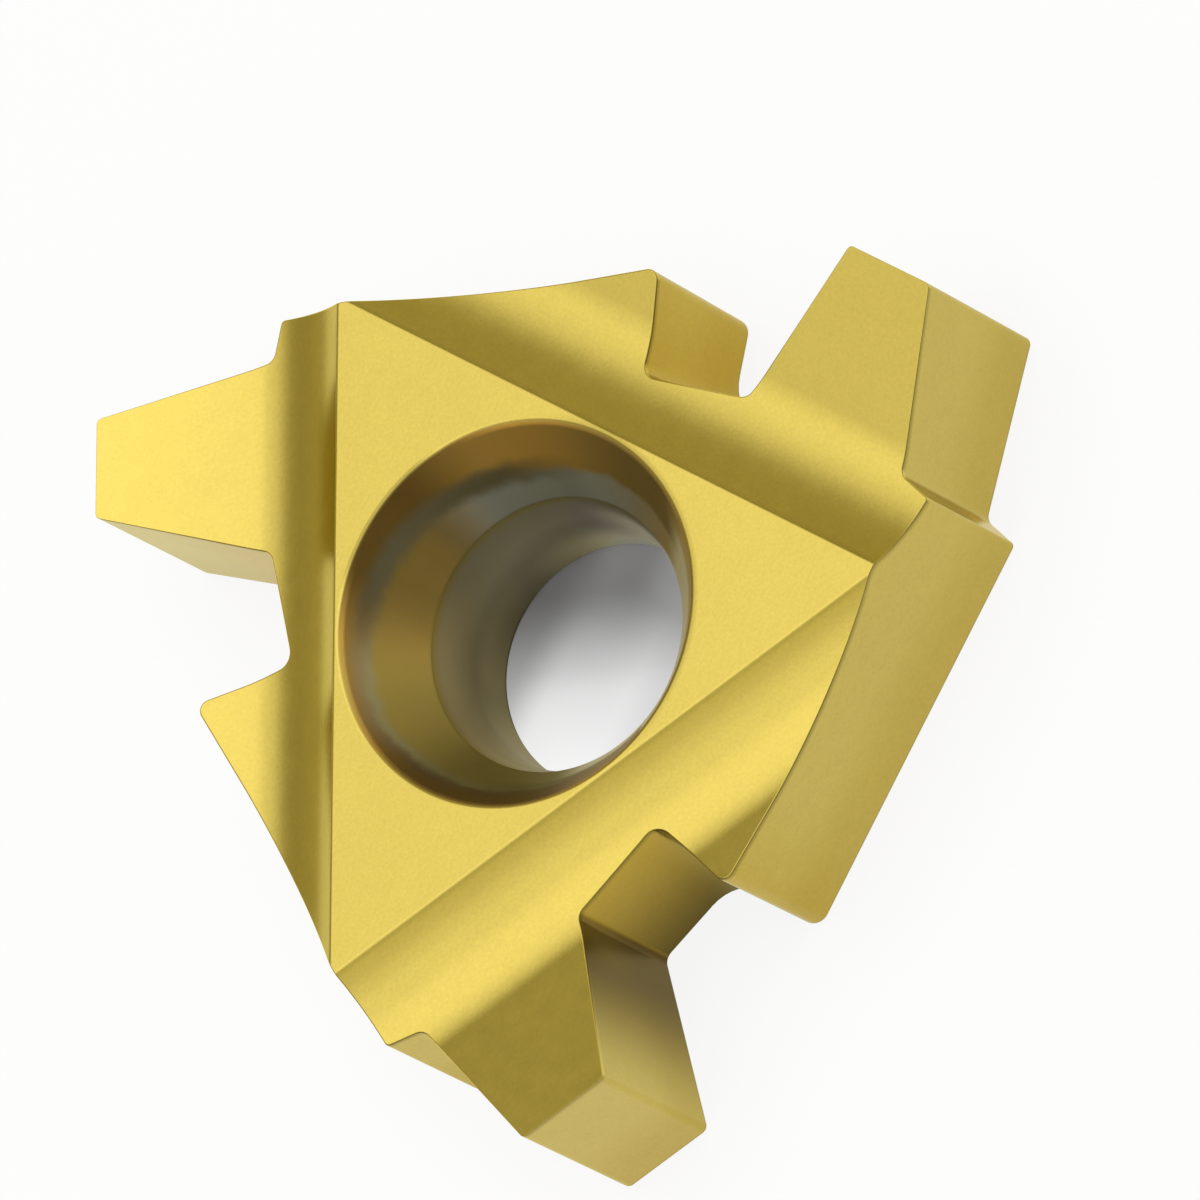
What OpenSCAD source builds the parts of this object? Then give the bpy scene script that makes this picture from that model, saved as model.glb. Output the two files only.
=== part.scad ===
// Lay-down thread-turning insert of coated carbide: a three-cornered plate that is pressed and
// ground in one piece. It has three teeth for a 30 degree trapezoidal thread, a ground chip
// breaker along each side and a countersunk bore for its screw.
// The bottom face lies on z = 0, the bore is on the Z axis, and one locating flank faces -Y.

/* [Body] */
// Diameter of the circle that touches the three locating flanks
inscribed_d = 12.7; // [12:0.1:13.4]
// Thickness from the bottom face to the flat middle of the top
thickness = 4.2; // [3.8:0.1:4.8]

/* [Tooth] */
// Distance from the bore axis to the crest of a tooth
crest_reach = 8.73; // [8.3:0.01:9.1]
// Width of the crest
crest_w = 1.88; // [1.5:0.01:2.1]
// Angle between the two flanks of a tooth
thread_angle = 30; // [26:1:32]
// Height of a tooth, from its roots to its crest
tooth_h = 3.32; // [2.9:0.01:3.5]
// Distance from the centre line of a tooth to the locating flank beside it
tooth_inset = 2.58; // [2.5:0.01:2.9]
// Angle at which the ground beside a tooth falls away from its roots
shoulder_angle = 13; // [8:0.5:16]

/* [Gullet] */
// Width of the gullet floor behind a tooth
gullet_w = 2.16; // [1.8:0.01:2.4]
// Lean of the wall behind the gullet from the centre line of the tooth
gullet_lean = 18; // [12:1:22]

/* [Corner radii] */
// Radius of the two corners of a crest
crest_r = 0.12; // [0.05:0.01:0.3]
// Radius in the two roots of a tooth
root_r = 0.25; // [0.1:0.01:0.4]
// Radius between the gullet floor and the wall behind it
gullet_r = 0.2; // [0.1:0.01:0.5]
// Radius of the heel, between the gullet wall and the locating flank
heel_r = 0.25; // [0.1:0.01:0.5]
// Radius of the nose, between the locating flank and the ground beside the next tooth
nose_r = 0.1; // [0.05:0.01:0.2]

/* [Chip breaker] */
// Distance from the bore axis to each side of the flat middle of the top
plateau_reach = 3.73; // [3.66:0.01:3.8]
// Angle at which the rake face falls inward from the crest
rake_angle = 12.6; // [10:0.1:14]
// Distance from the bore axis to the foot of the rake face, where the groove begins
rake_foot = 5.95; // [5.8:0.01:6.1]
// Radius of the groove beside the rake face
toe_r = 1.9; // [1.6:0.01:2.2]

/* [Screw bore] */
// Diameter of the bore at the top face
mouth_d = 7.18; // [7:0.01:7.3]
// Radius of the rounding at the mouth
mouth_r = 0.1; // [0.05:0.01:0.15]
// Diameter of the throat, where the conical seat of the screw head ends
throat_d = 5.18; // [5:0.01:5.4]
// Depth of the throat below the top face
throat_depth = 1.68; // [1.4:0.01:2]
// Diameter of the straight bore for the shank of the screw
bore_d = 4.64; // [4.4:0.01:4.9]
// Length of the straight bore, up from the bottom face
bore_len = 1.5; // [1:0.01:1.9]

/* [Hidden] */

SIDES = 3;
side_turn = 360 / SIDES;
// Steps in the arc of a rounded corner, turn of one step in the groove, and facets in a full circle
ARC_STEPS = 8;
GROOVE_STEP = 3.5;
ROUND_FN = 128;
// Reach of a cut past the faces that it leaves through
OVERCUT = 1;

flank_reach = inscribed_d / 2;
half_thread = thread_angle / 2;
corner_turn = side_turn / 4;
root_reach = crest_reach - tooth_h;
tooth_mid = tooth_inset - flank_reach;
flank_spread = tooth_h * tan(half_thread);

// Corners of the outline along one side, each [reach from the axis, place along the side, radius].
// The side's own frame has X square to the side, outward, and Y along it, anticlockwise.
front_root = tooth_mid - crest_w / 2 - flank_spread;
back_root = tooth_mid + crest_w / 2 + flank_spread;
nose_reach = root_reach - (front_root + flank_reach) * tan(shoulder_angle);
gullet_y = back_root + gullet_w;
gullet_reach = root_reach - gullet_w * tan(shoulder_angle);
// The gullet wall runs out along its lean until it meets the locating flank
wall_run = (flank_reach - gullet_reach * cos(corner_turn) - gullet_y * sin(corner_turn))
    / cos(gullet_lean - corner_turn);
heel = [gullet_reach + wall_run * cos(gullet_lean), gullet_y + wall_run * sin(gullet_lean)];

SIDE_CORNERS = [
    [nose_reach, -flank_reach, nose_r],
    [root_reach, front_root, root_r],
    [crest_reach, tooth_mid - crest_w / 2, crest_r],
    [crest_reach, tooth_mid + crest_w / 2, crest_r],
    [root_reach, back_root, root_r],
    [gullet_reach, gullet_y, gullet_r],
    [heel[0], heel[1], heel_r]
];

function turned(p, angle) = [
    p[0] * cos(angle) - p[1] * sin(angle),
    p[0] * sin(angle) + p[1] * cos(angle)
];

function unit(v) = v / norm(v);

// Points of the arc that rounds corner b between its neighbours a and c
function corner_arc(a, b, c, radius) =
    let (
        to_a = unit(a - b),
        to_c = unit(c - b),
        half = acos(to_a * to_c) / 2,
        room = min(norm(a - b), norm(c - b)) / 2,
        r = min(radius, room * tan(half)),
        centre = b + unit(to_a + to_c) * r / sin(half),
        from = b + to_a * r / tan(half) - centre,
        to = b + to_c * r / tan(half) - centre,
        bend = atan2(from[0] * to[1] - from[1] * to[0], from * to)
    )
    [for (i = [0 : ARC_STEPS]) centre + turned(from, bend * i / ARC_STEPS)];

// Corners of the whole outline, anticlockwise
CORNERS = [
    for (side = [0 : SIDES - 1], p = SIDE_CORNERS)
        let (q = turned([p[0], p[1]], side * side_turn)) [q[0], q[1], p[2]]
];

function spot(i) =
    let (p = CORNERS[(i + len(CORNERS)) % len(CORNERS)]) [p[0], p[1]];

// The groove beside the rake face is an arc of toe_r that meets the face without a step. At its
// lowest point it passes into a wider arc, which rises to the side of the flat middle.
rake_along = [cos(rake_angle), sin(rake_angle)];
rake_up = [-sin(rake_angle), cos(rake_angle)];
crest_top = [crest_reach, thickness];
rake_end = crest_top + (OVERCUT / cos(rake_angle)) * rake_along;
rake_start = crest_top - ((crest_reach - rake_foot) / cos(rake_angle)) * rake_along;
toe_centre = rake_start + toe_r * rake_up;
groove_bottom = toe_centre - [0, toe_r];
groove_w = groove_bottom[0] - plateau_reach;
groove_depth = thickness - groove_bottom[1];
back_r = (groove_w * groove_w + groove_depth * groove_depth) / (2 * groove_depth);
back_centre = groove_bottom + [0, back_r];

// Points of an arc between two angles, without the last one
function groove_arc(centre, r, from, to) =
    let (steps = ceil(abs(to - from) / GROOVE_STEP))
    [for (i = [0 : steps - 1])
        let (a = from + (to - from) * i / steps) centre + r * [cos(a), sin(a)]];

// Flat shape of the insert seen from above
module outline() {
    polygon([
        for (i = [0 : len(CORNERS) - 1])
            each corner_arc(spot(i - 1), spot(i), spot(i + 1), CORNERS[i][2])
    ]);
}

// Section of the chip breaker, across one side of the insert
module breaker_section() {
    polygon([
        rake_end,
        each groove_arc(toe_centre, toe_r, rake_angle - 90, -90),
        each groove_arc(back_centre, back_r, -90, -180),
        [rake_end[0], back_centre[1]]
    ]);
}

// Chip breaker of one side, ground straight through from flank to flank
module chip_breaker() {
    rotate([90, 0, 0])
        linear_extrude(height = 2 * (inscribed_d + OVERCUT), center = true)
            breaker_section();
}

// Bore with the rounded mouth, the conical seat for the screw head, the throat and the straight bore
module screw_bore() {
    throat = [throat_d / 2, thickness - throat_depth];
    mouth_round = [mouth_d / 2 + mouth_r, thickness - mouth_r];
    // The cone leans so that it touches the rounding of the mouth
    reach = mouth_round - throat;
    lean = atan2(reach[0], reach[1]) - asin(mouth_r / norm(reach));
    rotate_extrude($fn = ROUND_FN)
        polygon([
            [0, -OVERCUT],
            [bore_d / 2, -OVERCUT],
            [bore_d / 2, bore_len],
            throat,
            for (i = [0 : ARC_STEPS])
                let (a = 180 - lean - (90 - lean) * i / ARC_STEPS)
                    mouth_round + mouth_r * [cos(a), sin(a)],
            [mouth_round[0], thickness + OVERCUT],
            [0, thickness + OVERCUT]
        ]);
}

module insert() {
    color("#d2b24a")
        difference() {
            linear_extrude(height = thickness) outline();
            for (side = [0 : SIDES - 1])
                rotate([0, 0, side * side_turn]) chip_breaker();
            screw_bore();
        }
}

insert();
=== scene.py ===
"""Coated carbide thread-turning insert on a pale studio floor.

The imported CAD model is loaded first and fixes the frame. The finished body is built here from the
same sizes, with honed edges and exact surface normals, and stands for the CAD node.
"""

import math

import bpy
from mathutils import Matrix, Vector
from mathutils.geometry import delaunay_2d_cdt


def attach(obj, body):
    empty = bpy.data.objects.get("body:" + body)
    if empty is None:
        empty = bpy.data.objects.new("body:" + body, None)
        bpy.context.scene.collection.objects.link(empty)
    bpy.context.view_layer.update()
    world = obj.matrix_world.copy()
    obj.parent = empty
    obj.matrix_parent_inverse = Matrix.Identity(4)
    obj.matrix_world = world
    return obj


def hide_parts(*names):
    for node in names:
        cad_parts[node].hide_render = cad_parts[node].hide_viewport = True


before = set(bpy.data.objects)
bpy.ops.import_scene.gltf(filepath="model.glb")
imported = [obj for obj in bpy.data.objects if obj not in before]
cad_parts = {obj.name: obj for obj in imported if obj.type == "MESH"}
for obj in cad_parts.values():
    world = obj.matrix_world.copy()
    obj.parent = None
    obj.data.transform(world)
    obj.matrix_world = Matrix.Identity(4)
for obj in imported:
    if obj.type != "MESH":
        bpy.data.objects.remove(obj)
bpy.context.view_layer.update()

MM = 0.001

# Sizes of the CAD model, in millimetres
INSCRIBED_D = 12.7
THICKNESS = 4.2
CREST_REACH = 8.73
CREST_W = 1.88
THREAD_ANGLE = 30.0
TOOTH_H = 3.32
TOOTH_INSET = 2.58
SHOULDER_ANGLE = 13.0
GULLET_W = 2.16
GULLET_LEAN = 18.0
PLATEAU_REACH = 3.73
RAKE_ANGLE = 12.6
RAKE_FOOT = 5.95
TOE_R = 1.9
MOUTH_D = 7.18
MOUTH_R = 0.1
THROAT_D = 5.18
THROAT_DEPTH = 1.68
THROAT_Z = THICKNESS - THROAT_DEPTH
BORE_D = 4.64
BORE_LEN = 1.5

# Each kind of outline corner: radius at the top, radius at the bottom, rounding of the top edge.
# The crests and the gullets are crisper at the cutting edge than at the base.
CORNERS = {
    "nose": (0.1, 0.1, 0.03),
    "front_root": (0.25, 0.25, 0.03),
    "crest": (0.122, 0.16, 0.012),
    "back_root": (0.25, 0.25, 0.03),
    "gullet": (0.18, 1.0, 0.035),
    "heel": (0.2, 0.3, 0.03),
}
# Roundings that the CAD model leaves out
RIDGE_R = 0.1
BASE_R = 0.04
THROAT_R = 0.05
BORE_BLEND_R = 3.0
EXIT_R = 0.06
# Width of the painted shade or highlight on the wall below an edge
EDGE_BAND = 0.12

SIDES = 3
# The side whose crest and gullet wall face the front of the photo
FRONT_SIDE = 2

# Fineness of the mesh
OUTLINE_STEP = 0.12
ARC_STEPS = 10
BASE_STEPS = 3
WALL_STEPS = 6
HONE_STEPS = 4
BORE_STEPS = 192
BORE_TURN = math.radians(8)
RIDGE_STRIPS = 4
GROOVE_STRIPS = 22
# Reaches of the break lines on the rake face, and half the length of each break line
RAKE_LINES = [6.6, 7.3, 8.0]
LINE_END = 9.5


# Outline

def side_corners():
    """Corners along one side: reach from the axis, place along the side, kind."""
    flank = INSCRIBED_D / 2
    turn = math.radians(30)
    lean = math.radians(GULLET_LEAN)
    fall = math.tan(math.radians(SHOULDER_ANGLE))
    root = CREST_REACH - TOOTH_H
    mid = TOOTH_INSET - flank
    spread = TOOTH_H * math.tan(math.radians(THREAD_ANGLE / 2))
    front = mid - CREST_W / 2 - spread
    back = mid + CREST_W / 2 + spread
    gullet_y = back + GULLET_W
    gullet_x = root - GULLET_W * fall
    run = (flank - gullet_x * math.cos(turn) - gullet_y * math.sin(turn)) / math.cos(lean - turn)
    return [
        (root - (front + flank) * fall, -flank, "nose"),
        (root, front, "front_root"),
        (CREST_REACH, mid - CREST_W / 2, "crest"),
        (CREST_REACH, mid + CREST_W / 2, "crest"),
        (root, back, "back_root"),
        (gullet_x, gullet_y, "gullet"),
        (gullet_x + run * math.cos(lean), gullet_y + run * math.sin(lean), "heel"),
    ]


def on_side(side, x, y):
    """Point of a side's own frame, X outward and Y along it, in the frame of the part."""
    return Matrix.Rotation(2 * math.pi * side / SIDES, 2) @ Vector((x, y))


def corner_arc(a, b, c, r):
    """Points of the arc that rounds corner b, each with its outward normal."""
    to_a = (a - b).normalized()
    to_c = (c - b).normalized()
    half = math.acos(to_a.dot(to_c)) / 2
    centre = b + (to_a + to_c).normalized() * (r / math.sin(half))
    start = b + to_a * (r / math.tan(half)) - centre
    end = b + to_c * (r / math.tan(half)) - centre
    bend = math.atan2(start.x * end.y - start.y * end.x, start.dot(end))
    points = []
    for i in range(ARC_STEPS + 1):
        arm = Matrix.Rotation(bend * i / ARC_STEPS, 2) @ start
        points.append((centre + arm, arm.normalized() * math.copysign(1, bend)))
    return points


def outline_ring(level):
    """Outline at the bottom (level 0) or the top (level 1): points, outward normals and hones.

    Both levels have the same number of points, so the wall between them is ruled."""
    corners = [(on_side(side, x, y), CORNERS[kind])
               for side in range(SIDES) for x, y, kind in side_corners()]
    n = len(corners)
    arcs = []
    for i in range(n):
        a, b, c = (corners[(i + k) % n][0] for k in (-1, 0, 1))
        arcs.append(corner_arc(a, b, c, corners[i][1][0 if level else 1]))
    ring = []
    for i in range(n):
        j = (i + 1) % n
        hone, next_hone = corners[i][1][2], corners[j][1][2]
        ring += [(p, normal, hone) for p, normal in arcs[i]]
        parts = max(1, round((corners[j][0] - corners[i][0]).length / OUTLINE_STEP))
        p, normal = arcs[i][-1]
        q = arcs[j][0][0]
        for k in range(1, parts):
            t = k / parts
            ring.append((p.lerp(q, t), normal, hone + (next_hone - hone) * t))
    return ring


# Top surface, as a height over the plane of the bottom face

RAKE = math.tan(math.radians(RAKE_ANGLE))


def groove_arcs():
    """Centres of the two arcs of the chip breaker, and the radius of the wider one."""
    turn = math.radians(RAKE_ANGLE)
    foot = Vector((RAKE_FOOT, THICKNESS - (CREST_REACH - RAKE_FOOT) * RAKE))
    toe = foot + TOE_R * Vector((-math.sin(turn), math.cos(turn)))
    w = toe.x - PLATEAU_REACH
    depth = THICKNESS - toe.y + TOE_R
    r = (w * w + depth * depth) / (2 * depth)
    return toe, Vector((toe.x, toe.y - TOE_R + r)), r


TOE_C, BACK_C, BACK_R = groove_arcs()
# The small round between the flat middle and the groove lies RIDGE_R outside the groove's arc
RIDGE_IN = BACK_C.x - math.sqrt((BACK_R + RIDGE_R) ** 2 - (BACK_C.y - THICKNESS + RIDGE_R) ** 2)
RIDGE_OUT = RIDGE_IN + (BACK_C.x - RIDGE_IN) * RIDGE_R / (BACK_R + RIDGE_R)


def section(v):
    """Height and slope of the top at reach v."""
    if v <= RIDGE_IN:
        return THICKNESS, 0.0
    if v <= RIDGE_OUT:
        dx = v - RIDGE_IN
        dz = math.sqrt(RIDGE_R ** 2 - dx * dx)
        return THICKNESS - RIDGE_R + dz, -dx / dz
    if v <= RAKE_FOOT:
        centre, r = (BACK_C, BACK_R) if v < BACK_C.x else (TOE_C, TOE_R)
        dx = v - centre.x
        dz = math.sqrt(r * r - dx * dx)
        return centre.y - dz, dx / dz
    return THICKNESS + (v - CREST_REACH) * RAKE, RAKE


OUTWARD = [on_side(side, 1, 0) for side in range(SIDES)]


def top_height(p):
    return section(max(d.dot(p) for d in OUTWARD))[0]


def top_gradient(p):
    d = max(OUTWARD, key=lambda d: d.dot(p))
    return d * section(d.dot(p))[1]


def top_normal(p):
    g = top_gradient(p)
    return Vector((-g.x, -g.y, 1.0)).normalized()


# Body

class Shell:
    """Vertices with their exact normals and how much of an edge they are, and faces."""

    def __init__(self):
        self.verts = []
        self.normals = []
        self.edges = []
        self.faces = []

    def add(self, co, normal, edge=0.0):
        self.verts.append(co)
        self.normals.append(normal.normalized())
        self.edges.append(edge)
        return len(self.verts) - 1

    def strip(self, low, high):
        """Joins two closed rings of vertices."""
        n = len(low)
        for i in range(n):
            j = (i + 1) % n
            self.faces.append((low[i], low[j], high[j], high[i]))

    def fill(self, outer, inner, lines, height, normal, down=False):
        """Fills the face between two closed rings, with break lines across it.

        Returns the new vertices that the lines made on each step of the outer ring."""
        flat = [Vector(self.verts[i][:2]) for i in [*outer, *inner]]
        n, m = len(outer), len(inner)
        edges = [(i, (i + 1) % n) for i in range(n)] + [(n + i, n + (i + 1) % m) for i in range(m)]
        points = list(flat)
        for a, b in lines:
            edges.append((len(points), len(points) + 1))
            points += [a, b]
        co, pairs, faces, co_from, pair_from, _ = delaunay_2d_cdt(points, edges, [], 0, 1e-6)
        ring = [*outer, *inner]
        ids = [next((ring[o] for o in origin if o < n + m), None) for origin in co_from]
        kept = []
        for face in faces:
            centre = sum((co[k] for k in face), Vector((0, 0))) / 3
            if inside(centre, flat[:n]) and not inside(centre, flat[n:]):
                kept.append(face)
        for k in sorted({k for face in kept for k in face if ids[k] is None}):
            ids[k] = self.add((*co[k], height(co[k])), normal(co[k]))
        for face in kept:
            a, b, c = (co[k] for k in face)
            left = (b - a).cross(c - a) > 0
            tri = tuple(ids[k] for k in face)
            self.faces.append(tri if left != down else tri[::-1])
        between = {}
        for pair, origin in zip(pairs, pair_from):
            for step in (o for o in origin if o < n):
                ends = {outer[step], outer[(step + 1) % n]}
                between.setdefault(step, set()).update(ids[k] for k in pair if ids[k] not in ends)
        return {step: sorted(new, key=lambda i: (Vector(self.verts[i][:2]) - flat[step]).length)
                for step, new in between.items()}


def inside(p, ring):
    hit = False
    a = ring[-1]
    for b in ring:
        if (a.y > p.y) != (b.y > p.y) and p.x < (b.x - a.x) * (p.y - a.y) / (b.y - a.y) + a.x:
            hit = not hit
        a = b
    return hit


def bore_profile():
    """Section of the bore from the top face to the bottom face: r and z, and the normal."""
    throat = Vector((THROAT_D / 2, THROAT_Z))
    to_round = Vector((MOUTH_D / 2 + MOUTH_R, THICKNESS - MOUTH_R)) - throat
    lean = math.atan2(to_round.x, to_round.y) - math.asin(MOUTH_R / to_round.length)
    mouth_x = throat.x + THROAT_DEPTH * math.tan(lean)
    path = [
        (mouth_x + 1, THICKNESS, 0),
        (mouth_x, THICKNESS, MOUTH_R),
        (throat.x, throat.y, THROAT_R),
        (BORE_D / 2, BORE_LEN, BORE_BLEND_R),
        (BORE_D / 2, 0, EXIT_R),
        (BORE_D / 2 + 1, 0, 0),
    ]
    profile = []
    for (ax, az, _), (bx, bz, r), (cx, cz, _) in zip(path, path[1:], path[2:]):
        b = Vector((bx, bz))
        come = (b - Vector((ax, az))).normalized()
        go = (Vector((cx, cz)) - b).normalized()
        turn = math.atan2(come.x * go.y - come.y * go.x, come.dot(go))
        start = b - come * r * math.tan(abs(turn) / 2)
        centre = start + Vector((-come.y, come.x)) * math.copysign(r, turn)
        steps = max(4, round(abs(turn) / BORE_TURN))
        for k in range(steps + 1):
            spin = Matrix.Rotation(turn * k / steps, 2)
            along = spin @ come
            profile.append((centre + spin @ (start - centre), Vector((along.y, -along.x))))
    return profile


def build_body():
    shell = Shell()
    low = outline_ring(0)
    high = outline_ring(1)
    n = len(low)

    def wall(i, z):
        return low[i][0].lerp(high[i][0], z / THICKNESS)

    def wall_normal(i):
        out = low[i][1]
        lean = (high[i][0] - low[i][0]) / THICKNESS
        return Vector((out.x, out.y, -out.dot(lean))).normalized()

    # rounded base edge
    rows = []
    for k in range(BASE_STEPS + 1):
        t = math.pi / 2 * k / BASE_STEPS
        row = []
        for i in range(n):
            out = low[i][1]
            p = wall(i, BASE_R) - out * BASE_R * (1 - math.sin(t))
            row.append(shell.add((p.x, p.y, BASE_R * (1 - math.cos(t))),
                                 Vector((*(out * math.sin(t)), -math.cos(t)))))
        rows.append(row)

    # height at which the rounding of the top edge leaves the wall, and its turn
    starts = []
    for i in range(n):
        # the wall leans a little at the corners, so its height is found in a few rounds
        z = THICKNESS
        for _ in range(6):
            z = top_height(wall(i, z))
        fall = -top_gradient(wall(i, z)).dot(low[i][1])
        hone = low[i][2]
        starts.append((z + hone * (fall - math.hypot(1, fall)), math.atan2(1, fall)))
    for k in range(1, WALL_STEPS + 1):
        row = []
        for i in range(n):
            z = BASE_R + (starts[i][0] - EDGE_BAND - BASE_R) * k / WALL_STEPS
            row.append(shell.add((*wall(i, z), z), wall_normal(i)))
        rows.append(row)
    rows.append([shell.add((*wall(i, start), start), wall_normal(i), 1.0)
                 for i, (start, _) in enumerate(starts)])

    # rounding of the top edge
    for k in range(1, HONE_STEPS + 1):
        row = []
        for i in range(n):
            start, turn = starts[i]
            hone = low[i][2]
            t = turn * k / HONE_STEPS
            p = wall(i, start) - low[i][1] * hone * (1 - math.cos(t))
            if k == HONE_STEPS:
                row.append(shell.add((*p, top_height(p)), top_normal(p)))
            else:
                normal = wall_normal(i).slerp(top_normal(p), k / HONE_STEPS)
                row.append(shell.add((*p, start + hone * math.sin(t)), normal, 1.0))
        rows.append(row)
    for a, b in zip(rows, rows[1:-1]):
        shell.strip(a, b)

    # bore
    rings = []
    for p, normal in bore_profile():
        ring = []
        for k in range(BORE_STEPS):
            spin = Matrix.Rotation(2 * math.pi * k / BORE_STEPS, 3, "Z")
            ring.append(shell.add(spin @ Vector((p.x, 0, p.y)), spin @ Vector((normal.x, 0, normal.y))))
        rings.append(ring)
    for a, b in zip(rings, rings[1:]):
        shell.strip(a, b)

    # top and bottom faces; the break lines follow the groove of each side
    reaches = [RIDGE_IN + (RIDGE_OUT - RIDGE_IN) * k / RIDGE_STRIPS for k in range(RIDGE_STRIPS + 1)]
    reaches += [RIDGE_OUT + (RAKE_FOOT - RIDGE_OUT) * k / GROOVE_STRIPS
                for k in range(1, GROOVE_STRIPS + 1)]
    lines = [(on_side(side, v, -LINE_END), on_side(side, v, LINE_END))
             for side in range(SIDES) for v in reaches + RAKE_LINES]
    between = shell.fill(rows[-1], rings[0], lines, top_height, top_normal)
    last, final = rows[-2], rows[-1]
    for i in range(n):
        j = (i + 1) % n
        shell.faces.append((last[i], last[j], final[j], *reversed(between.get(i, [])), final[i]))
    shell.fill(rows[0], rings[-1], [], lambda p: 0.0, lambda p: Vector((0, 0, -1)), down=True)
    return shell


def make_object(name, shell):
    mesh = bpy.data.meshes.new(name)
    mesh.from_pydata([Vector(v) * MM for v in shell.verts], [], shell.faces)
    mesh.update()
    for poly in mesh.polygons:
        poly.use_smooth = True
    edge = mesh.attributes.new("edge", "FLOAT", "POINT")
    for item, value in zip(edge.data, shell.edges):
        item.value = value
    mesh.normals_split_custom_set_from_vertices(shell.normals)
    obj = bpy.data.objects.new(name, mesh)
    bpy.context.scene.collection.objects.link(obj)
    return obj


# Materials

class Graph:
    """Short names for building a node tree."""

    def __init__(self, owner):
        owner.use_nodes = True
        self.tree = owner.node_tree
        self.tree.nodes.clear()

    def node(self, kind, **values):
        node = self.tree.nodes.new(kind)
        for key, value in values.items():
            setattr(node, key, value)
        return node

    def join(self, source, socket):
        if isinstance(source, bpy.types.NodeSocket):
            self.tree.links.new(source, socket)
        elif socket.type == "VECTOR":
            socket.default_value = source[:3]
        else:
            socket.default_value = source

    def math(self, operation, *args):
        node = self.node("ShaderNodeMath", operation=operation)
        for source, socket in zip(args, node.inputs):
            self.join(source, socket)
        return node.outputs[0]

    def mul(self, first, *others):
        for other in others:
            first = self.math("MULTIPLY", first, other)
        return first

    def add(self, a, b):
        return self.math("ADD", a, b)

    def largest(self, first, *others):
        for other in others:
            first = self.math("MAXIMUM", first, other)
        return first

    def rest(self, share):
        """What is left of one."""
        return self.math("SUBTRACT", 1.0, share)

    def along(self, x, y, way):
        """Length of a flat vector along a direction."""
        return self.add(self.mul(x, way[0]), self.mul(y, way[1]))

    def smooth(self, x, low, high, at_low=0.0, at_high=1.0):
        """Smooth step from at_low to at_high while x runs from low to high."""
        node = self.node("ShaderNodeMapRange", interpolation_type="SMOOTHSTEP")
        if low > high:
            low, high, at_low, at_high = high, low, at_high, at_low
        for source, socket in zip((x, low, high, at_low, at_high), node.inputs):
            self.join(source, socket)
        return node.outputs[0]

    def between(self, x, rise, top, end, fall):
        """One from top to end, and smoothly down to zero at rise and at fall."""
        return self.mul(self.smooth(x, rise, top), self.smooth(x, fall, end))

    def mix(self, factor, a, b, blend="MIX"):
        node = self.node("ShaderNodeMix", data_type="RGBA", blend_type=blend)
        colors = [socket for socket in node.inputs if socket.type == "RGBA"]
        for source, socket in zip((factor, a, b), (node.inputs["Factor"], *colors)):
            self.join(source, socket)
        return next(socket for socket in node.outputs if socket.type == "RGBA")

    def dim(self, color, factor):
        """Colour times a number."""
        node = self.node("ShaderNodeVectorMath", operation="SCALE")
        self.join(color, node.inputs[0])
        self.join(factor, node.inputs["Scale"])
        return node.outputs[0]

    def gain(self, color, *terms):
        """Colour times the sum of one and of each weight times its term."""
        total = 1.0
        for weight, term in terms:
            total = self.math("MULTIPLY_ADD", term, weight, total)
        return self.dim(color, total)

    def tint(self, color, by, share=1.0):
        """Colour multiplied by another one, as far as the share goes."""
        return self.mix(share, color, by, "MULTIPLY")

    def place(self):
        """Object coordinates in millimetres."""
        return self.dim(self.node("ShaderNodeTexCoord").outputs["Object"], 1 / MM)

    def parts(self, vector):
        node = self.node("ShaderNodeSeparateXYZ")
        self.join(vector, node.inputs[0])
        return node.outputs

    def distance(self, x, y, at=(0.0, 0.0)):
        dx = self.add(x, -at[0])
        dy = self.add(y, -at[1])
        return self.math("SQRT", self.add(self.mul(dx, dx), self.mul(dy, dy)))

    def noise(self, place, scale, detail):
        """Noise between about -1 and 1, with its scale in cells to the millimetre."""
        node = self.node("ShaderNodeTexNoise")
        self.join(place, node.inputs["Vector"])
        node.inputs["Scale"].default_value = scale
        node.inputs["Detail"].default_value = detail
        return self.math("MULTIPLY_ADD", node.outputs["Fac"], 4.0, -2.0)


# Base colours of the coating
GOLD = (0.495, 0.385, 0.0775, 1)
BORE_GOLD = (0.5, 0.33, 0.1, 1)
RIGHT_GOLD = (0.5, 0.37, 0.14, 1)
SEAT_GOLD = (0.47, 0.35, 0.12, 1)
LEFT_SEAT = (0.455, 0.378, 0.12, 1)
LOWER_GOLD = (0.25, 0.206, 0.106, 1)
# Carbide that shows through it, soot at its end, and pale painted highlights
BARE = (0.285, 0.32, 0.37, 1)
LOWER_BARE = (0.25, 0.225, 0.14, 1)
SMOKE = (0.15, 0.14, 0.1, 1)
PALE_HIGHLIGHT = (1.0, 0.93, 0.64, 1)
EXIT_RIM_HIGHLIGHT = (0.5, 0.49, 0.45, 1)
# Tints, which multiply a base colour; some of them paint light or shade
WALL = (1.1, 1.1, 1.3, 1)
FOOT = (0.91, 0.88, 0.76, 1)
LEDGE = (1, 0.9, 0.3, 1)
FRONT_CREST = (1.03, 1.03, 1.3, 1)
GULLET_SHADE = (0.89, 0.77, 0.37, 1)
BACKED = (0.15, 0.1, 0.03, 1)
VEIL = (0.9, 1.07, 2.2, 1)
LOWER_RIGHT = (1.13, 1.16, 1.55, 1)
THROAT_GOLD = (1, 0.92, 0.5, 1)

SPECULAR_TINT = (0.98, 0.95, 0.7, 1)
ROUGHNESS = 0.24
# Added to the roughness in the bore
BORE_ROUGHNESS = 0.22
BUMP_DISTANCE = 0.0000002


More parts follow.
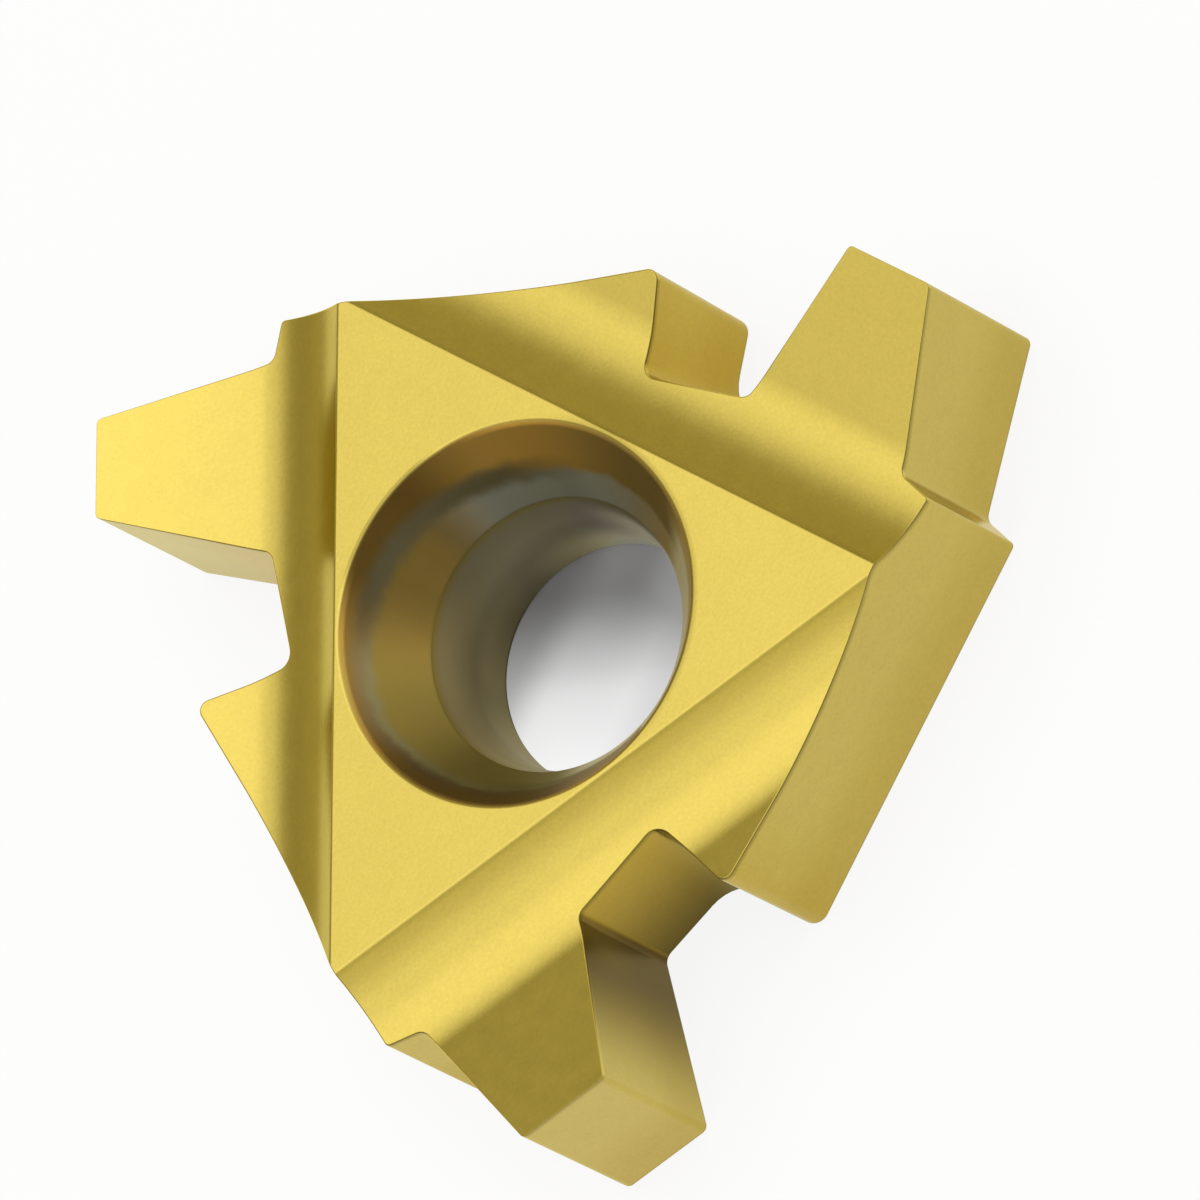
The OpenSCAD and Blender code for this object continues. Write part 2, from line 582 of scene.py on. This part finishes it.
def bore_azimuth(g, x, y):
    """Azimuth in degrees: 23 is at the top of the photo, 120 at its left and 203 at its bottom.

    It runs from -105 to 255, where it jumps back. The photo hides that part of the wall, but the
    tones of the two ends differ, so the jump shows as a straight seam from above or from behind."""
    middle = 75.0
    c, s = math.cos(math.radians(middle)), math.sin(math.radians(middle))
    turn = g.math("ARCTAN2", g.along(y, x, (c, -s)), g.along(x, y, (c, s)))
    return g.math("MULTIPLY_ADD", turn, math.degrees(1), middle)


def seat_color(g, x, y, z, r, azimuth, mottle):
    """Bore above the throat: a coated band under the mouth, and a seat with less coating. Its tone by
    azimuth and height is partly coating and partly painted light and shade.
    """
    def bump(*limits):
        return g.between(azimuth, *limits)

    upper = g.mix(g.smooth(azimuth, 30, 0), BORE_GOLD, RIGHT_GOLD)
    # gains by azimuth and height: painted light and shade
    upper = g.gain(upper,
                   (-0.67, bump(42, 74, 98, 124)),
                   (0.3, bump(112, 134, 136, 158)),
                   (-0.42, bump(148, 172, 212, 238)),
                   (-0.3, g.smooth(azimuth, 32, -10)),
                   (0.95, g.mul(g.smooth(azimuth, -25, -45), g.smooth(z, 3.4, 3.9))))
    seat = g.mix(g.smooth(azimuth, 112, 138), SEAT_GOLD, LEFT_SEAT)
    seat = g.mix(g.mul(g.smooth(azimuth, 85, 52), g.smooth(azimuth, -45, 15)), seat, BARE)
    # gains by azimuth and height: painted light and shade
    seat = g.gain(seat,
                  (-0.48, bump(58, 76, 97, 125)),
                  (-0.2, g.mul(g.smooth(azimuth, 185, 205), g.smooth(z, 3.0, 3.2))),
                  (0.46, bump(108, 136, 152, 180)),
                  (0.35, g.smooth(azimuth, 25, 5)))

    # height over the slanting, slightly ragged line where the coating thins out
    highest = math.radians(148)
    toward = g.math("DIVIDE", g.along(x, y, (math.cos(highest), math.sin(highest))), r)
    line = g.math("MULTIPLY_ADD", g.largest(toward, -0.35), -0.48, -3.34)
    over = g.add(g.add(z, line), g.mul(mottle, 0.06))
    over = g.add(over, g.smooth(azimuth, 148, 168, 0.0, 0.13))
    color = g.mix(g.smooth(over, 0.1, -0.12), upper, seat)

    # along that line, a blue veil at the left and soot at the top
    band = g.mul(g.smooth(g.math("ABSOLUTE", over), 0.34, 0.05), g.smooth(azimuth, 10, 48))
    left = g.smooth(azimuth, 98, 132)
    color = g.tint(color, VEIL, g.mul(band, left, g.smooth(azimuth, 240, 130)))
    color = g.mix(g.mul(band, g.rest(left)), color, SMOKE)

    # painted highlight, high up at the right and low down at the bottom
    glint = g.largest(g.mul(g.smooth(azimuth, -29, -43), g.smooth(z, 3.88, 3.55)),
                     g.mul(g.smooth(azimuth, 212, 228), g.smooth(z, 3.2, 2.85)))
    color = g.mix(glint, color, PALE_HIGHLIGHT)

    # painted highlight on the rounded mouth, apart from its upper left
    rim = g.mul(g.smooth(z, 4.06, 4.14), g.smooth(azimuth, -42, -25), g.smooth(azimuth, 258, 240),
                g.rest(bump(32, 54, 94, 112)))
    return g.gain(color, (1.0, rim))


def lower_bore_color(g, z, azimuth):
    """Bore below the throat: little coating, with painted light and shade by azimuth and height,
    brightest at the lower left and at the right.
    """
    high = g.smooth(z, 1.2, 2.3)
    color = g.mix(g.smooth(azimuth, 60, 110), LOWER_BARE, LOWER_GOLD)
    # gains by azimuth and height: painted light and shade
    color = g.gain(color,
                   (1.6, g.mul(high, g.between(azimuth, 85, 140, 170, 220))),
                   (-0.1, high),
                   (0.3, g.mul(g.between(azimuth, 70, 86, 118, 136), g.smooth(z, 1.4, 0.8))),
                   (2.1, g.mul(g.smooth(azimuth, 28, -8), g.between(z, 0.2, 1.3, 1.9, 2.4))),
                   (-0.6, g.mul(g.smooth(z, 0.14, 0.06), g.between(azimuth, 70, 95, 140, 155))),
                   (3.4, g.mul(g.smooth(z, 1.6, 0.1), g.smooth(azimuth, 95, 20))))
    color = g.tint(color, LOWER_RIGHT, g.smooth(azimuth, 45, 18))
    color = g.tint(color, THROAT_GOLD, g.smooth(z, THROAT_Z - 0.25, THROAT_Z))
    # painted highlight along the exit edge
    return g.mix(g.mul(g.smooth(z, 0.07, 0.04), g.smooth(azimuth, 85, 55)), color, EXIT_RIM_HIGHLIGHT)


def bore_color(g, x, y, z, r, mottle):
    """Thin coating inside the bore, by azimuth and height.

    The tones are matched to the photo, so some of its light and shade is in them."""
    azimuth = bore_azimuth(g, x, y)
    color = g.mix(g.smooth(z, THROAT_Z + 0.03, THROAT_Z - 0.02),
                  seat_color(g, x, y, z, r, azimuth, mottle), lower_bore_color(g, z, azimuth))
    # a line along the throat, darker at the left, and a painted highlight at the right
    line = g.smooth(g.math("ABSOLUTE", g.add(z, -THROAT_Z)), 0.05, 0.015)
    return g.gain(color,
                  (-0.12, g.mul(line, g.smooth(azimuth, -15, 0))),
                  (1.2, g.mul(line, g.smooth(azimuth, -15, -40))))


def wall_color(g, color, x, y, z, nx, ny):
    """Ground walls: painted light makes them a little paler than the top, and painted shade deeper
    towards the foot and in the gullets.
    """
    # painted light and shade: paler than the top, deeper towards the foot
    low = g.smooth(z, 2.4, 0.6)
    wall = g.tint(g.tint(color, WALL), FOOT, low)
    # painted sheen on the narrow ground beside a tooth, seen at a grazing angle: lighter low down,
    # darker high up, yellower at the foot
    turn = math.radians(SHOULDER_ANGLE)
    shoulder = g.smooth(g.along(nx, ny, (math.cos(turn), -math.sin(turn))), 0.98, 0.996)
    wall = g.gain(wall, (g.smooth(z, 0.8, 2.0, 0.2, -0.3), shoulder))
    wall = g.tint(wall, LEDGE, g.mul(shoulder, low))
    # painted light: walls facing straight out from the front side are paler and bluer
    wall = g.tint(wall, FRONT_CREST, g.smooth(g.along(nx, ny, OUTWARD[FRONT_SIDE]), 0.95, 0.99))
    # painted shade in a fringe above the base edge
    wall = g.dim(wall, g.smooth(z, 0.03, 0.09, 0.75, 1.0))

    spots = {kind: (a, b) for a, b, kind in side_corners()}
    for side in range(SIDES):
        root = on_side(side, *spots["back_root"])
        middle = (root + on_side(side, *spots["gullet"])) / 2
        from_middle = g.distance(x, y, middle)
        # painted shade in the gullet of every side
        wall = g.tint(wall, GULLET_SHADE, g.smooth(from_middle, 3.6, 1.2))
        if side != FRONT_SIDE:
            continue
        # the flank behind the tooth and the floor of the gullet shade each other in the photo; their
        # tones are matched to it on this side alone
        half = math.radians(90 - THREAD_ANGLE / 2)
        flank = g.smooth(g.along(nx, ny, on_side(side, math.cos(half), math.sin(half))), 0.6, 0.9)
        floor = g.mul(g.smooth(from_middle, 2.4, 1.6), g.rest(flank))
        from_root = g.distance(x, y, root)
        lit = g.mul(g.smooth(z, 1.2, 3.8), g.smooth(from_root, 1.1, 0.2))
        near = g.mul(flank, g.smooth(from_root, 3.6, 0.7), g.math("MULTIPLY_ADD", lit, -0.3, 1.0))
        wall = g.tint(wall, BACKED, near)
        wall = g.gain(wall, (g.math("MULTIPLY_ADD", z, 0.205, -0.82), floor))
    return wall


def coated_carbide():
    mat = bpy.data.materials.new("satin gold coating")
    g = Graph(mat)
    place = g.place()
    x, y, z = g.parts(place)
    nx, ny, nz = g.parts(g.node("ShaderNodeTexCoord").outputs["Normal"])
    cloud = g.noise(place, 0.5, 3.0)
    mottle = g.noise(place, 2.6, 4.0)
    grain = g.noise(place, 16.0, 3.0)

    # gold with soft clouds and grain, and painted light that makes it a little brighter along the
    # grooves and at the tip on the left
    tone = g.add(g.mul(cloud, 0.015), g.add(g.mul(mottle, 0.025), g.mul(grain, 0.05)))
    color = g.gain(GOLD, (1.0, tone))
    reach = [g.along(x, y, way) for way in OUTWARD]
    groove = g.between(g.largest(*reach), PLATEAU_REACH, 3.85, 4.3, 4.8)
    lift = g.add(g.mul(groove, 0.15), g.mul(g.smooth(reach[1], 5.0, 8.6), 0.12))
    color = g.mix(g.smooth(nz, 0.6, 0.3), g.gain(color, (1.0, lift)),
                  wall_color(g, color, x, y, z, nx, ny))

    # painted shade along the edges, and a painted highlight on those whose walls face along (0.92, 0.4)
    # or (-0.5, 0.87)
    edge = g.node("ShaderNodeAttribute", attribute_name="edge").outputs["Fac"]
    up = g.smooth(g.along(nx, ny, (0.92, 0.4)), -0.1, 0.4)
    left = g.smooth(g.along(nx, ny, (-0.5, 0.87)), 0.2, 0.7)
    pale = g.add(g.mul(g.largest(up, left), 0.7), g.mul(left, 0.3))
    color = g.gain(color, (g.add(pale, -0.4), edge))

    # painted shade in a line along the right and along the upper left of the mouth
    r = g.distance(x, y)
    for way, start, full, width, weight in (((0.7, -0.7), 0.3, 0.8, 0.12, -0.25),
                                            ((0.14, 0.99), 0.9, 0.97, 0.04, -0.4)):
        facing = g.smooth(g.math("DIVIDE", g.along(x, y, way), r), start, full)
        color = g.gain(color, (weight, g.mul(facing, g.smooth(r, 3.68 + width, 3.68))))
    in_bore = g.smooth(r, 3.66, 3.6)
    color = g.mix(in_bore, color, bore_color(g, x, y, z, r, mottle))

    bump = g.node("ShaderNodeBump")
    bump.inputs["Strength"].default_value = 1.0
    bump.inputs["Distance"].default_value = BUMP_DISTANCE
    g.join(grain, bump.inputs["Height"])
    bsdf = g.node("ShaderNodeBsdfPrincipled")
    bsdf.inputs["Metallic"].default_value = 1.0
    bsdf.inputs["Specular Tint"].default_value = SPECULAR_TINT
    g.join(g.add(g.math("MULTIPLY_ADD", mottle, 0.015, ROUGHNESS), g.mul(in_bore, BORE_ROUGHNESS)),
           bsdf.inputs["Roughness"])
    g.join(color, bsdf.inputs["Base Color"])
    g.join(bump.outputs[0], bsdf.inputs["Normal"])
    g.join(bsdf.outputs[0], g.node("ShaderNodeOutputMaterial").inputs[0])
    return mat


def floor_material():
    mat = bpy.data.materials.new("pale floor")
    g = Graph(mat)
    place = g.place()
    x, y, _ = g.parts(place)
    # painted shadow: grey under the bore, as the light falls in from one side
    across = g.along(x, y, (0.87, 0.48))
    well_shadow = g.add(g.smooth(across, 1.6, -0.6, 0.14, 0.69), g.mul(g.math("MINIMUM", across, 0.0), -0.145))
    well_shadow = g.add(well_shadow, g.mul(g.noise(place, 0.6, 1.0), 0.02))
    well_shadow = g.mul(well_shadow, g.smooth(y, 1.0, 2.0, 1.0, 0.55), g.smooth(y, -1.1, -0.3, 0.85, 1.0))
    well_shadow = g.add(well_shadow, g.mul(g.smooth(x, 1.2, 1.8), g.smooth(y, 0.6, -0.2), 0.08))
    outside = g.smooth(g.distance(x, y), 2.6, 4.0)
    diffuse = g.node("ShaderNodeBsdfDiffuse")
    diffuse.inputs["Color"].default_value = (0.94, 0.95, 0.98, 1)
    white = g.node("ShaderNodeEmission")
    g.join(g.mix(outside, g.dim((1.0, 1.0, 1.0), well_shadow), (1, 1, 1, 1)), white.inputs["Color"])
    white.inputs["Strength"].default_value = 1.0
    # seen as near white, while the rest of its light is diffuse and keeps the shadow
    path = g.node("ShaderNodeLightPath").outputs
    seen = g.largest(path["Is Camera Ray"], path["Is Glossy Ray"], path["Is Transmission Ray"])
    mix = g.node("ShaderNodeMixShader")
    g.join(g.mul(seen, g.math("MULTIPLY_ADD", outside, -0.04, 0.9)), mix.inputs[0])
    g.join(diffuse.outputs[0], mix.inputs[1])
    g.join(white.outputs[0], mix.inputs[2])
    g.join(mix.outputs[0], g.node("ShaderNodeOutputMaterial").inputs[0])
    return mat


# Studio

# Soft overhead light, brighter towards its middle: three disks, one above the other. Each has its
# height in metres, its place and its radius as shares of that height, and its radiance.
OVERHEAD = [
    ("inner", 0.56, (0.1, 0.18), 0.45, 0.49),
    ("middle", 0.6, (0.03, 0.2), 0.74, 0.475),
    ("outer", 0.64, (0.1, 0.18), 0.95, 0.43),
]
SKY_STRENGTH = 0.53
# Half the width of the floor and its drop below the base, in metres
FLOOR_HALF = 3.0
FLOOR_DROP = 0.00001


def add_disk_lamp(name, place, aim, radius, radiance, color=(1.0, 1.0, 1.0)):
    """Round area lamp; a white card whose whole sky had radiance 1 would render white."""
    lamp = bpy.data.lights.new(name, "AREA")
    lamp.shape = "DISK"
    lamp.size = 2 * radius
    lamp.energy = radiance * (math.pi * radius) ** 2
    lamp.color = color
    obj = bpy.data.objects.new(name, lamp)
    obj.location = place
    obj.rotation_euler = (Vector(place) - Vector(aim)).to_track_quat("Z", "Y").to_euler()
    bpy.context.scene.collection.objects.link(obj)


def direction(azimuth, elevation):
    a, e = math.radians(azimuth), math.radians(elevation)
    return Vector((math.cos(e) * math.cos(a), math.cos(e) * math.sin(a), math.sin(e)))


def sky():
    """Even pale sky, warmer below its top."""
    world = bpy.data.worlds.new("studio")
    bpy.context.scene.world = world
    g = Graph(world)
    height = g.parts(g.node("ShaderNodeTexCoord").outputs["Generated"])[2]
    background = g.node("ShaderNodeBackground")
    g.join(g.mix(g.smooth(height, 0.55, 0.8), (0.96, 0.89, 0.58, 1), (1.0, 0.98, 0.94, 1)),
           background.inputs["Color"])
    background.inputs["Strength"].default_value = SKY_STRENGTH
    g.join(background.outputs[0], g.node("ShaderNodeOutputWorld").inputs[0])


def studio():
    sky()
    for name, h, (x, y), radius, radiance in OVERHEAD:
        add_disk_lamp("overhead " + name, (x * h, y * h, h), (x * h, y * h, 0),
                      radius * h, radiance, (1.0, 1.0, 1.06))
    add_disk_lamp("side fill", direction(219, 45) * 0.6, (0, 0, 0), 0.14, 0.5)

    mesh = bpy.data.meshes.new("floor")
    s = FLOOR_HALF
    mesh.from_pydata([(-s, -s, 0), (s, -s, 0), (s, s, 0), (-s, s, 0)], [], [(0, 1, 2, 3)])
    floor = bpy.data.objects.new("floor", mesh)
    floor.location.z = -FLOOR_DROP
    bpy.context.scene.collection.objects.link(floor)
    floor.data.materials.append(floor_material())


def camera():
    """Long lens at the photo's angle, 59 degrees over the top face, fitted to the photo's corners."""
    data = bpy.data.cameras.new("camera")
    data.sensor_fit = "HORIZONTAL"
    data.sensor_width = 36.0
    data.lens = 831.370162
    data.clip_start = 0.01
    right = Vector((0.45197844, -0.76496404, -0.45885238))
    up = Vector((0.89201111, 0.38434362, 0.23789949))
    back = Vector((-0.00562757, -0.51682686, 0.85607145))
    place = Vector((-1.92992749, -262.49354645, 436.49281707)) * MM
    cam = bpy.data.objects.new("camera", data)
    cam.matrix_world = Matrix.Translation(place) @ Matrix((right, up, back)).transposed().to_4x4()
    bpy.context.scene.collection.objects.link(cam)
    bpy.context.scene.camera = cam


body = make_object("insert_body", build_body())
body.data.materials.append(coated_carbide())
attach(body, "root")
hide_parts("insert")

studio()
camera()
bpy.context.scene.view_settings.view_transform = "Standard"
